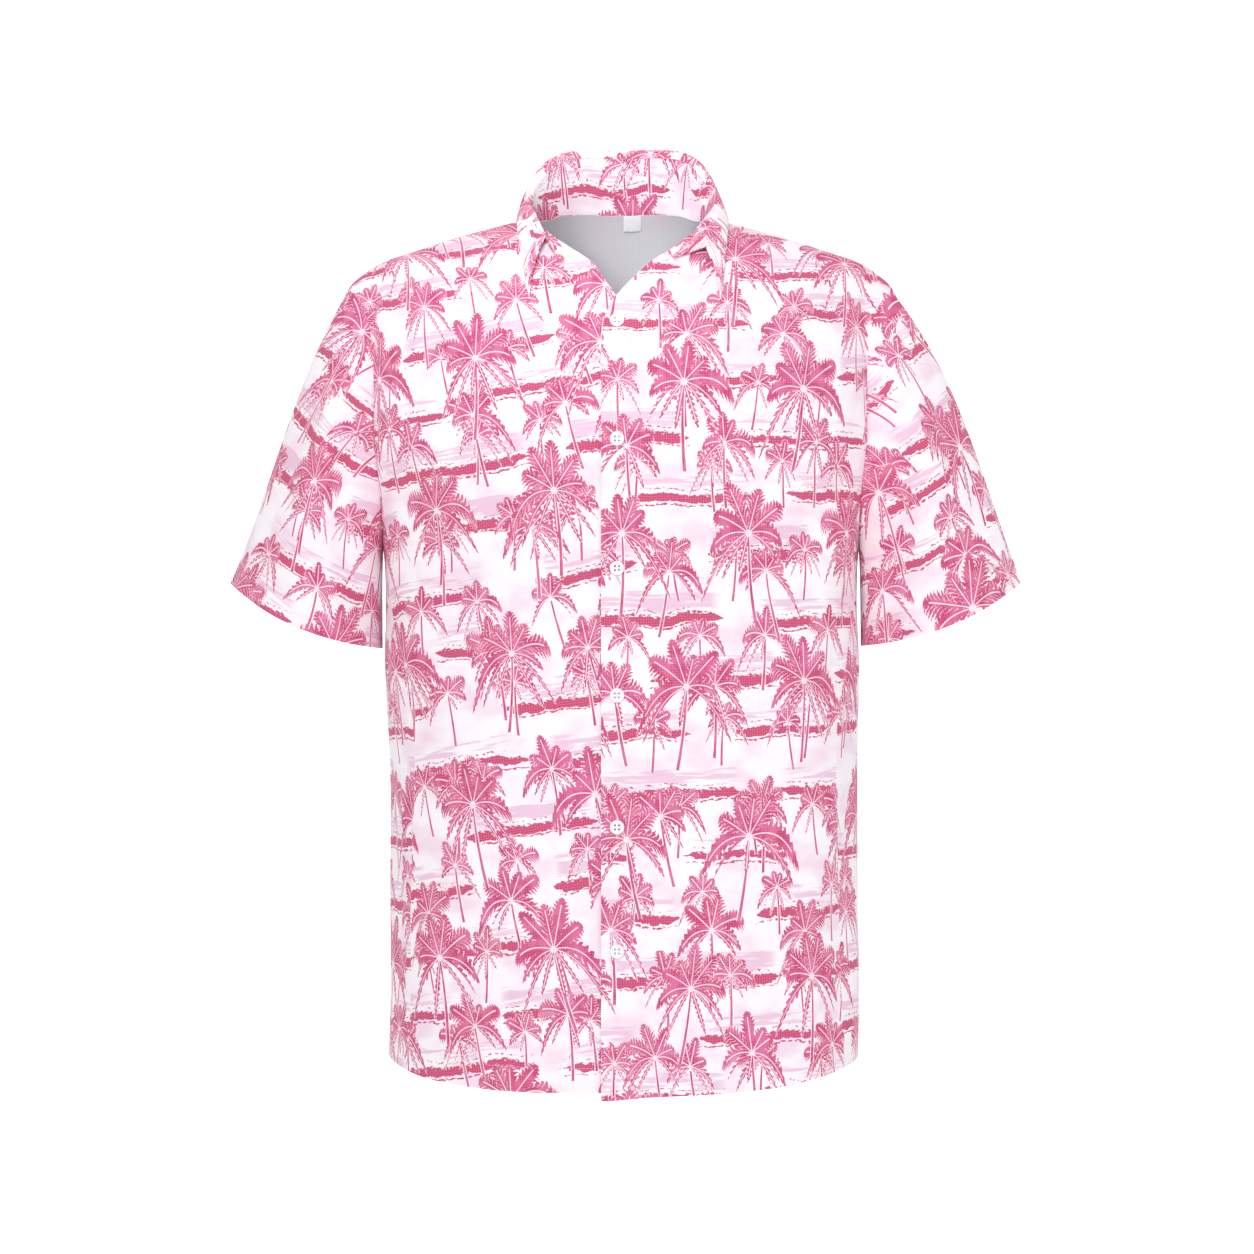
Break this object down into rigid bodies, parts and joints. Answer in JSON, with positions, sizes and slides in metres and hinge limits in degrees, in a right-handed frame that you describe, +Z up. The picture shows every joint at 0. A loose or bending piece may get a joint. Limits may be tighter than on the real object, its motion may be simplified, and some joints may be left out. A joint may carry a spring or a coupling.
{
  "type": "hawaiian shirt",
  "caption": "Short-sleeved button-front shirt with a turned-down collar, standing hollow as worn, in white cloth with a pink palm print.",
  "frame": {"origin": "centre of the neck opening, level with the ridges of the shoulders, where the wearer's neck passes through", "axes": "+Z up along the body, +X towards the wearer's left, -Y towards the buttoned front"},
  "size_m": [0.6625, 0.264, 0.791],
  "materials": {
    "printed_cloth": "thin smooth white woven cloth with a pink palm print, plain pale grey on its wrong side",
    "button_plastic": "white moulded plastic, polished",
    "label_tape": "white satin tape"
  },
  "bodies": {
    "root": {"front_left": "printed_cloth", "front_right": "printed_cloth", "back": "printed_cloth", "sleeve_left": "printed_cloth", "sleeve_right": "printed_cloth", "collar_stand": "printed_cloth", "collar_leaf": "printed_cloth", "button_1": "button_plastic", "button_2": "button_plastic", "button_3": "button_plastic", "button_4": "button_plastic", "button_5": "button_plastic", "button_6": "button_plastic", "label": "label_tape"}
  },
  "joints": []
}
